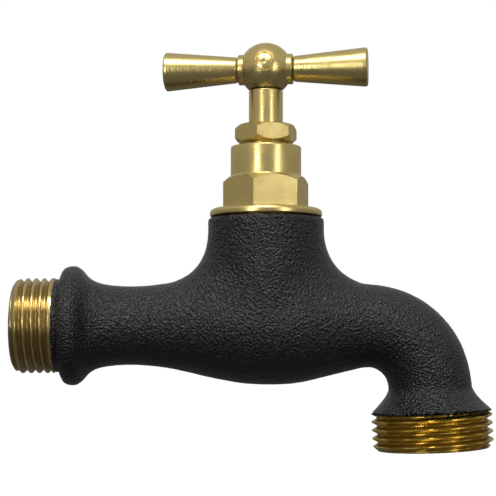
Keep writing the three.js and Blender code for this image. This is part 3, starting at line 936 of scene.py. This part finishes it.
# %% Cut the waterway and put the seat in
def block(name, x0, x1, z0, z1):
    mesh = bpy.data.meshes.new(name)
    half = 14 * MM
    corners = [Vector((x, y, z)) for z in (z0, z1) for y in (-half, half) for x in (x0, x1)]
    faces = [(0, 2, 3, 1), (4, 5, 7, 6), (0, 1, 5, 4), (2, 6, 7, 3), (0, 4, 6, 2), (1, 3, 7, 5)]
    mesh.from_pydata(corners, [], faces)
    return face_outwards(add_object(name, mesh))


def waterway():
    """The core of the casting, less the web, with the neck's bore added."""
    core = mm((-1, 6.5), (33, 6.5), (38, 7.2), (44, 9), (52, 10.3), (60, 10.3), (69, 8.6),
              (74.5, 7.2), (78.2, 6.8))
    core += [(SPOUT_BASE + 4.8 * MM, 6.8 * MM), (SPOUT_BASE + 6.8 * MM, MOUTH_R),
             (SPOUT_BASE + SPOUT_LENGTH + 1 * MM, MOUTH_R)]
    water = tube_along("waterway", divided(core, 0.8 * MM), 96)
    left, right, thick = NECK_X - NECK_BORE_R, NECK_X + NECK_BORE_R, 2.6 * MM
    low, top = 0.2 * MM, 3 * MM                     # of the level stretch that holds the seat
    web = block("web left", left - thick, left + 2 * MM, low, 12.85 * MM)
    join(web, block("web seat", left - thick, right + thick, low, top))
    join(web, block("web right", right, right + thick, -14 * MM, top))
    cut(water, web)
    neck = turned("neck bore", [
        *mm((0, -0.8), (5.8, -0.8), (5.8, 3)), (NECK_BORE_R, top),
        (NECK_BORE_R, NECK_TOP - 1.6 * MM), (11.6 * MM, NECK_TOP - 1.6 * MM),
        (11.6 * MM, NECK_TOP + 1 * MM), (0, NECK_TOP + 1 * MM)], 128)
    return join(water, on_spindle_axis(neck))


body = casting
join(body, inlet_sleeve, outlet_sleeve)
cut(body, waterway())
seat_outline = rounded(mm((5.8, 2.6), (7.4, 2.6), (7.4, 3.8), (5.8, 3.8)), 0.25 * MM, closed=True)
seat_ring = turned("seat ring", seat_outline, 96, closed=True)
join(body, on_spindle_axis(seat_ring))
body.data.calc_loop_triangles()
print("body:", len(body.data.loop_triangles), "triangles")

# %% [markdown]
# ## Headwork
# The bonnet screws into the neck. From below: a round flange, a hexagon for the spanner and a
# plain barrel, with the gland screw on top that squeezes the packing round the shaft. A spanner
# hexagon is a prism whose corners have been turned off to a cone, so it is cut with a cone.


# %% Hexagons
def hexagon(name, flats, bottom, top, turn, chamfer_bottom, chamfer_top):
    """A hexagon bar along +Z with the corners chamfered at the ends that are asked for."""
    corner = flats / 2 / math.cos(math.pi / 6)
    face = flats / 2 - 0.15 * MM
    drop = (corner - face) * math.tan(math.radians(42))
    prism = turned(name, [(0, bottom), (corner, bottom), (corner, top), (0, top)], 6)
    placed(prism, Matrix.Rotation(turn + math.pi / 2, 4, "Z"))
    low = [(face, bottom), (corner, bottom + drop)] if chamfer_bottom else [(corner + MM, bottom - MM)]
    high = [(corner, top - drop), (face, top)] if chamfer_top else [(corner + MM, top + MM)]
    outline = [(0, low[0][1])] + low + high + [(0, high[-1][1])]
    envelope = turned("envelope", outline, 192)
    edge = prism.modifiers.new("worn edges", "BEVEL")
    edge.width = 0.14 * MM
    edge.segments = 3
    edge.limit_method = "ANGLE"
    edge.angle_limit = math.radians(40)
    apply_modifiers(prism)
    return combined("INTERSECT", prism, envelope)


def machine_thread(name, crest, depth, pitch, bottom, top, segments):
    """A threaded bar whose thread begins at the bottom with a chamfer and runs out at the top."""
    outline = [(0, 0), (crest - depth, 0), (crest, depth), (crest, top - bottom), (0, top - bottom)]
    fine = divided(outline, pitch / 14)
    fine = [p for p in fine if p[0] > crest * 0.8 or p in (outline[0], outline[-1])]
    blank = turned(name, fine, segments)
    thread_cut(blank, turned_brass, crest, depth, pitch, 0.02 * MM, top - bottom, pitch * 0.6)
    return placed(blank, Matrix.Translation((0, 0, bottom)))


# %% Bonnet
def make_bonnet():
    flange_top, hex_top, top = 25.9, 32.9, 39.8     # all heights in here are in mm
    flange = turned("bonnet", rounded(mm(
        (0, 24.1), (12.45, 24.1), (12.45, 25.1), (12.2, 25.55), (11.6, 25.83),
        (10.8, flange_top), (8.9, flange_top), (8.3, flange_top + 0.5), (0, flange_top + 0.5)),
        0.3 * MM), 160)
    hexagonal = hexagon("bonnet hexagon", 17 * MM, (flange_top - 0.4) * MM, hex_top * MM,
                        math.radians(-16.5), False, True)
    barrel = turned("barrel", rounded(mm(
        (0, flange_top), (7.2, flange_top), (7.2, hex_top - 0.5), (8.2, hex_top - 0.1),
        (7.85, hex_top + 0.3), (7.85, top), (6.8, top), (0, top)), 0.45 * MM), 160)
    stem = bar("stem", 9.1 * MM, 16.2 * MM, 24.5 * MM, 128)
    thread = machine_thread("bonnet thread", 10.2 * MM, 1.1 * MM, PIPE_PITCH, 15.2 * MM, 22.2 * MM, 160)
    join(flange, hexagonal, barrel, stem, thread)
    bore = turned("bonnet bore", mm(
        (0, 14), (6.3, 14), (6.3, 29.5), (4.1, 29.5), (4.1, 31.5), (5.75, 31.5), (5.75, top - 0.3),
        (6.05, top + 0.01), (6.05, 41), (0, 41)), 128)
    return on_spindle_axis(cut(flange, bore))


def make_gland_nut():
    nut = hexagon("gland nut", 12.4 * MM, 40.7 * MM, 44.6 * MM, math.radians(-16), True, True)
    join(nut, machine_thread("gland thread", 5.4 * MM, 0.55 * MM, 1 * MM, 36.1 * MM, 41.0 * MM, 120))
    bore = turned("gland bore", mm(
        (0, 35), (4.1, 35), (4.1, 44.3), (4.4, 44.7), (4.4, 46), (0, 46)), 96)
    return on_spindle_axis(cut(nut, bore))


def washer(name, inner, outer, low, high, edge):
    """A flat ring; every size is in mm."""
    corners = mm((inner, low), (outer, low), (outer, high), (inner, high))
    outline = rounded(corners, edge * MM, closed=True)
    return on_spindle_axis(turned(name, outline, 112, closed=True))


bonnet = make_bonnet()
gland_nut = make_gland_nut()
gasket = washer("gasket", 9.4, 11.3, 22.5, 23.8, 0.25)
packing_washer = washer("packing ring seat", 4.1, 5.45, 31.8, 32.6, 0.12)
lower_packing = washer("lower packing", 4.05, 5.45, 32.9, 34.2, 0.4)
upper_packing = washer("upper packing", 4.05, 5.45, 34.5, 35.8, 0.4)
print("bonnet:", len(bonnet.data.polygons), "faces; gland nut:", len(gland_nut.data.polygons), "faces")

# %% [markdown]
# ## Spindle and valve
# A coarse thread lifts the spindle two millimetres a turn. Its foot holds the loose jumper,
# whose rubber washer closes on the seat. None of this shows from outside.


# %% Spindle, jumper, washer and nut
PIN_HOLE_R = 1.8 * MM                               # the cross stud passes through with this


def at_handle(piece):
    """Turns a piece that was made square to the tap as far as the handle is turned."""
    return placed(piece, Matrix.Translation((NECK_X, 0, 0)) @ Matrix.Rotation(HANDLE_TURN, 4, "Z"))


def cross_drill(name, radius, reach):
    drill = along_x(bar(name, radius, -reach, reach, 48))
    return placed(drill, Matrix.Translation((0, 0, ARM_HEIGHT)))


def make_spindle():
    shaft = turned("valve spindle", rounded(mm(
        (0, 9.7), (4.7, 9.7), (4.7, 16), (3.8, 16.4), (3.8, 52.45), (3.2, 52.45), (3.2, 60.1),
        (0, 60.1)), 0.3 * MM), 128)
    join(shaft, machine_thread("spindle thread", 6 * MM, 0.95 * MM, 2 * MM, 15.5 * MM, 24.3 * MM, 128))
    socket = bar("jumper socket", 2.5 * MM, 9 * MM, 18.2 * MM, 64)
    cut(shaft, socket, cross_drill("pin hole", PIN_HOLE_R, 5 * MM))
    return at_handle(shaft)


def make_jumper():
    return on_spindle_axis(turned("loose jumper", rounded(mm(
        (0, 1.3), (1.6, 1.3), (1.6, 7.4), (7.7, 7.4), (7.7, 9.4), (2.2, 9.4), (2.2, 17.9),
        (0, 17.9)), 0.3 * MM), 112))


def make_washer_nut():
    nut = hexagon("jumper nut", 5.5 * MM, 1.6 * MM, 3.8 * MM, 0, True, False)
    return on_spindle_axis(cut(nut, bar("nut hole", 1.9 * MM, 0, 5 * MM, 48)))


spindle = make_spindle()
jumper = make_jumper()
washer_nut = make_washer_nut()
seat_washer = washer("washer rubber", 1.9, 7.3, 4.1, 7.1, 0.35)
print("spindle:", len(spindle.data.polygons), "faces")

# %% [markdown]
# ## Handle
# A turned ball on top of the spindle with a short boss on each side, and two tapered arms
# screwed on to a cross stud. The ball carries a plain ring struck into the side that faces out.


# %% Ball, stud and arms
def make_ball():
    low, centre, radius = 52.75 * MM, ARM_HEIGHT, 5.95 * MM
    outline = [(0, low), (3.95 * MM, low)]
    outline += [(radius * math.cos(a), centre + radius * math.sin(a))
                for a in (math.radians(-45 + 5 * k) for k in range(28))]
    outline[-1] = (0, centre + radius)
    ball = turned("hub ball", rounded(outline, 0.25 * MM, 2), 144)
    boss = turned("boss", rounded(mm((0, -6.1), (3.4, -6.1), (3.4, 6.1), (0, 6.1)), 0.28 * MM), 112)
    join(ball, placed(along_x(boss), Matrix.Translation((0, 0, ARM_HEIGHT))))
    ring = turned("struck ring", mm(
        (1.8, -0.5), (1.9, -0.58), (2.1, -0.58), (2.2, -0.5), (2.5, 1), (1.5, 1)), 96, closed=True)
    dot = turned("struck dot", mm((0, -0.12), (0.5, -0.02), (0.8, 1), (0, 1)), 48)
    lift = math.radians(8)                          # the marks look up a little
    out = Vector((math.sin(-HANDLE_TURN) * 0.4, -1, math.tan(lift))).normalized()
    face = out.to_track_quat("Z", "Y").to_matrix().to_4x4()
    for mark, sink in ((ring, 0.1 * MM), (dot, 0.12 * MM)):
        placed(mark, Matrix.Translation(Vector((0, 0, centre)) + out * (radius - sink)) @ face)
    cut(ball, ring, dot)
    socket = bar("spigot socket", 3.5 * MM, 52 * MM, 60.4 * MM, 96)
    cut(ball, socket, cross_drill("pin hole", PIN_HOLE_R, 8 * MM))
    return at_handle(ball)


def make_arm(name, side):
    start, end, hole_end = 6.2, 22.8, 11.8          # in mm from the ball's centre
    outline = rounded(mm(
        (0, hole_end), (1.8, hole_end), (1.8, start), (2.6, start), (2.88, start + 0.4),
        (4.31, end - 0.9), (4.33, end - 0.3), (3.95, end), (0, end)), 0.3 * MM)
    arm = turned(name, outline, 128)
    lay = Matrix.Rotation(math.pi / 2 * side, 4, "Y")
    return at_handle(placed(arm, Matrix.Translation((0, 0, ARM_HEIGHT)) @ lay))


def make_stud():
    outline = rounded(mm((0, -11.5), (1.5, -11.5), (1.5, 11.5), (0, 11.5)), 0.3 * MM)
    stud = turned("pin through ball", outline, 64)
    return at_handle(placed(along_x(stud), Matrix.Translation((0, 0, ARM_HEIGHT))))


ball = make_ball()
cross_stud = make_stud()
right_arm = make_arm("right arm", 1)
left_arm = make_arm("left arm", -1)
print("ball:", len(ball.data.polygons), "faces; arm:", len(right_arm.data.polygons), "faces")

# %% [markdown]
# ## Finish each piece
# Every brass face gets a number called feed: how far the cutting tool had travelled, in
# millimetres, when it cut that spot. It grows along the axis on round faces and across the
# radius on end faces, so the tool marks run round the piece everywhere. The flats of the
# hexagons are picked out by how square to the axis they are, and get the milled finish.


# %% Feed numbers, smooth shading and materials
SHARPEST_SMOOTH = math.radians(32)                  # edges that turn more than this stay crisp


def store(mesh, title, values):
    """Keeps one number for each vertex, for the materials to read."""
    mesh.attributes.new(title, "FLOAT", "POINT").data.foreach_set("value", values)


def set_finish(piece, origin, axis, *materials, pick=None):
    """Stores feed, shades smoothly over gentle edges, and gives each face a material."""
    mesh = piece.data
    mesh.materials.clear()
    for material in materials:
        mesh.materials.append(material)
    offset = spots_of(mesh) - np.array(origin)
    along = offset @ np.array(axis)
    out = np.linalg.norm(offset - along[:, None] * np.array(axis), axis=1)
    store(mesh, "feed", (along + out) / MM)
    for polygon in mesh.polygons:
        polygon.use_smooth = True
        polygon.material_index = pick(polygon) if pick else 0
    mesh.set_sharp_from_angle(angle=SHARPEST_SMOOTH)


def mark_bare(piece):
    """Stores, in mm, how far each point of the body is past the paint and below a crest."""
    mesh = piece.data
    points = spots_of(mesh)
    down_spout = (points - np.array(outlet_start)) @ np.array(outlet_axis)
    x, off_axis = points[:, 0], np.hypot(points[:, 1], points[:, 2])
    on_inlet = INLET_THREAD_END + 0.45 * MM - x
    on_outlet = np.where(x > NECK_X, down_spout - SPOUT_THREAD_START - 0.25 * MM, -1)
    inside = -distance_to_skin(points) - 1.0 * MM
    in_bore = np.where(x < 15 * MM, INLET_BORE_R + 1.5 * MM - off_axis, -1)
    bare = np.maximum(np.maximum(on_inlet, on_outlet), np.maximum(inside, in_bore))
    store(mesh, "bare", np.clip(bare / MM, -5, 5))
    spout_side = points - np.array(outlet_start) - down_spout[:, None] * np.array(outlet_axis)
    below_crest = np.where(x > NECK_X, OUTLET_THREAD_R - np.linalg.norm(spout_side, axis=1),
                           INLET_THREAD_R - off_axis)
    # depth below the thread crest, which the paint material turns into painted shade between the crests
    store(mesh, "groove", np.clip(below_crest / MM, 0, 2))
    feed = np.where((x > NECK_X) & (points[:, 2] < -ELBOW_BEND), down_spout, x)
    mesh.attributes["feed"].data.foreach_set("value", feed / MM)


def is_flat_of_hexagon(flats, low, high):
    """A test for the level-sided faces of a hexagon between two heights."""
    def test(polygon):
        centre, normal = polygon.center, polygon.normal
        reach = (centre.x - NECK_X) * normal.x + centre.y * normal.y
        near = abs(reach - flats / 2) < 0.02 * MM
        return 1 if near and abs(normal.z) < 0.02 and low < centre.z < high else 0
    return test


UP = (0, 0, 1)
spindle_foot = (NECK_X, 0, 0)
handle_axis = Matrix.Rotation(HANDLE_TURN, 3, "Z") @ Vector((1, 0, 0))
handle_centre = (NECK_X, 0, ARM_HEIGHT)
set_finish(body, (0, 0, 0), (1, 0, 0), painted_brass)
mark_bare(body)
set_finish(bonnet, spindle_foot, UP, turned_brass, milled_brass,
           pick=is_flat_of_hexagon(17 * MM, 26 * MM, 34 * MM))
set_finish(gland_nut, spindle_foot, UP, turned_brass, milled_brass,
           pick=is_flat_of_hexagon(12.4 * MM, 40 * MM, 45 * MM))
for piece in (washer_nut, spindle, jumper, packing_washer, ball):
    set_finish(piece, spindle_foot, UP, turned_brass)
for piece in (right_arm, left_arm, cross_stud):
    set_finish(piece, handle_centre, handle_axis, grooved_brass)
set_finish(seat_washer, spindle_foot, UP, black_rubber)
set_finish(gasket, spindle_foot, UP, red_fibre)
for piece in (lower_packing, upper_packing):
    set_finish(piece, spindle_foot, UP, graphite)

# %% [markdown]
# ## Put the pieces on the frame
# Each piece rides on a moving body of the frame, stands in for one CAD node, and says which
# material slot of the part it fills.

# %% Ride, replace, slot
table = [
    (body, "tap_body", "body", "black_paint"),
    (bonnet, "tap_body", "bonnet", "brass"),
    (gasket, "tap_body", "bonnet_gasket", "fibre"),
    (gland_nut, "tap_body", "gland_nut", "brass"),
    (packing_washer, "tap_body", "packing_washer", "brass"),
    (lower_packing, "tap_body", "packing_ring_lower", "graphite"),
    (upper_packing, "tap_body", "packing_ring_upper", "graphite"),
    (jumper, "valve", "jumper", "brass"),
    (seat_washer, "valve", "seat_washer", "rubber"),
    (washer_nut, "valve", "washer_nut", "brass"),
    (spindle, "handle", "spindle", "brass"),
    (ball, "handle", "handle_ball", "brass"),
    (cross_stud, "handle", "cross_stud", "brass"),
    (right_arm, "handle", "handle_arm_right", "brass"),
    (left_arm, "handle", "handle_arm_left", "brass"),
]
for piece, rides_on, node, slot in table:
    piece.name = "fine_" + node
    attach(piece, rides_on)
    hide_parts(node)
    low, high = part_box(node)
    corners = spots_of(piece.data)
    misses = np.abs([corners.min(0) - np.array(low), corners.max(0) - np.array(high)])
    print("%-20s %7d faces, ends differ by %.2f mm at most"
          % (node, len(piece.data.polygons), misses.max() / MM))
